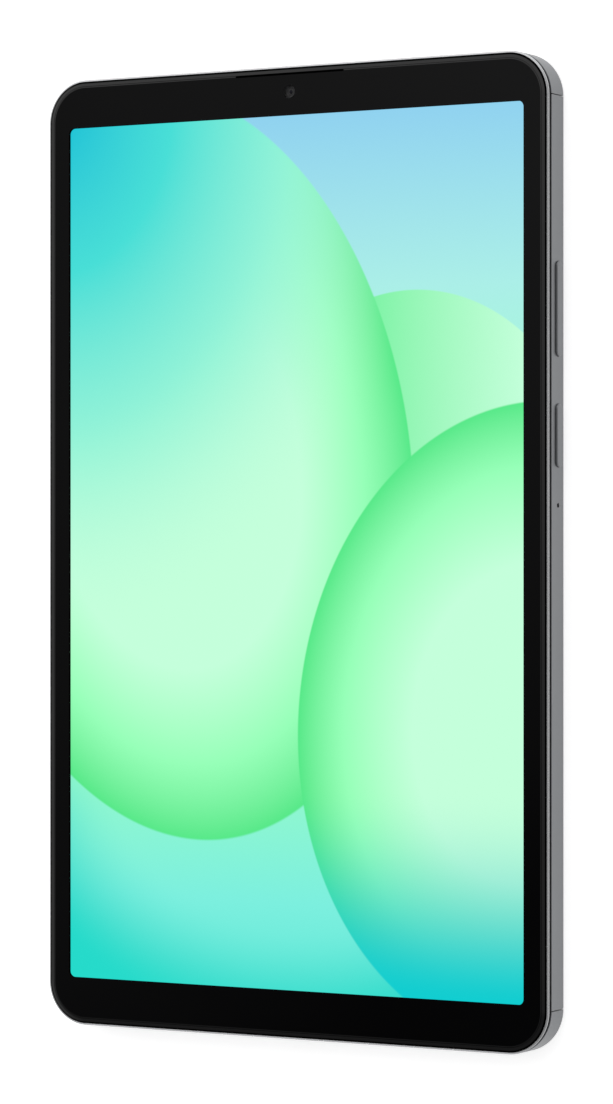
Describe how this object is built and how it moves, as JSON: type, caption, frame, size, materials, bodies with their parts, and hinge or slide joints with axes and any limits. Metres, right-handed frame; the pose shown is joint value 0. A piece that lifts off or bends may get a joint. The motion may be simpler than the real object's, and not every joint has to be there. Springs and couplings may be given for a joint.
{
  "type": "tablet computer",
  "caption": "Flat tablet computer with a glass front, metal rear housing with plastic end caps, side volume and power keys, ports and a pull-out card tray.",
  "frame": {"origin": "centre of the flat back face, on the surface that the tablet lies on", "axes": "+Z out of the screen, +Y along the long side towards the end with the front camera, +X towards the side with the volume and power keys"},
  "size_m": [0.1252, 0.211, 0.008],
  "materials": {
    "housing_metal": "fine bead-blasted and anodised, satin",
    "cap_plastic": "satin metallic paint on plastic",
    "key_metal": "satin anodised",
    "rim_grey": "satin metallic grey",
    "frame_black": "fine matte",
    "cover_glass": "polished, black printed border",
    "screen": "lit picture in mint and sky blue",
    "black_plastic": "moulded",
    "adhesive": "foam tape",
    "steel": "rolled sheet",
    "film_white": "white film",
    "film_amber": "polyimide flexible circuit",
    "board_green": "solder mask",
    "pouch": "laminated foil pouch",
    "lens_glass": "coated glass",
    "screw_steel": "dark plated"
  },
  "bodies": {
    "tablet": {"rear_shell": "housing_metal", "antenna_cap_top": "cap_plastic", "antenna_cap_bottom": "cap_plastic", "front_rim": "rim_grey", "mid_frame": "frame_black", "cover_glass": "cover_glass", "glass_adhesive": "adhesive", "display_cell": "screen", "light_guide": "film_white", "backlight_tray": "steel", "led_strip": "film_white", "display_flex": "film_amber", "battery_cell": "pouch", "battery_circuit_board": "board_green", "battery_flex": "film_amber", "battery_tape_left": "film_white", "battery_tape_right": "film_white", "main_board": "board_green", "processor": "black_plastic", "memory_chip": "black_plastic", "processor_shield": "steel", "power_shield": "steel", "display_connector": "black_plastic", "battery_connector": "black_plastic", "interconnect_connector": "black_plastic", "interconnect_flex": "film_amber", "rear_camera_housing": "black_plastic", "rear_camera_ring": "steel", "rear_camera_window": "lens_glass", "front_camera_housing": "black_plastic", "front_camera_lens": "lens_glass", "card_socket": "steel", "headphone_jack": "black_plastic", "usb_board": "board_green", "usb_shell": "steel", "usb_tongue": "black_plastic", "speaker_top": "black_plastic", "speaker_top_mesh": "steel", "speaker_bottom": "black_plastic", "speaker_bottom_mesh": "steel", "receiver": "black_plastic", "receiver_mesh": "steel", "key_flex": "film_amber", "volume_up_switch": "steel", "volume_down_switch": "steel", "power_switch": "steel", "side_microphone": "steel", "board_screw_1": "screw_steel", "board_screw_2": "screw_steel", "board_screw_3": "screw_steel", "board_screw_4": "screw_steel", "board_screw_5": "screw_steel", "board_screw_6": "screw_steel"},
    "volume_rocker": {"volume_key": "key_metal"},
    "power_button": {"power_key": "key_metal"},
    "tray": {"card_tray": "key_metal"},
    "ejector_rod": {"eject_rod": "steel"},
    "ejector_lever": {"eject_lever": "steel"},
    "camera_focus": {"rear_camera_lens": "black_plastic"}
  },
  "joints": [
    {"name": "volume_rock", "type": "hinge", "parent": "tablet", "child": "volume_rocker", "pos_m": [0.0605, 0.0512, 0.0032], "axis": [0, 0, 1], "range_deg": [-1.5, 1.5], "stiffness_Nm_per_rad": 0.5},
    {"name": "power_press", "type": "slide", "parent": "tablet", "child": "power_button", "axis": [-1, 0, 0], "range_m": [0, 0.00025], "stiffness_N_per_m": 6000},
    {"name": "tray_slide", "type": "slide", "parent": "tablet", "child": "tray", "axis": [-1, 0, 0], "range_m": [0, 0.0225]},
    {"name": "eject_push", "type": "slide", "parent": "tablet", "child": "ejector_rod", "axis": [1, 0, 0], "range_m": [0, 0.0015]},
    {"name": "eject_lever_turn", "type": "hinge", "parent": "tablet", "child": "ejector_lever", "pos_m": [-0.03558, 0.0758, 0.0032], "axis": [0, 0, -1], "range_deg": [0, 21.49]},
    {"name": "camera_focus_slide", "type": "slide", "parent": "tablet", "child": "camera_focus", "axis": [0, 0, -1], "range_m": [0, 0.00025], "stiffness_N_per_m": 50}
  ],
  "couplings": [
    {"joint": "eject_lever_turn", "follows": "eject_push", "rad_per_m": 250}
  ]
}
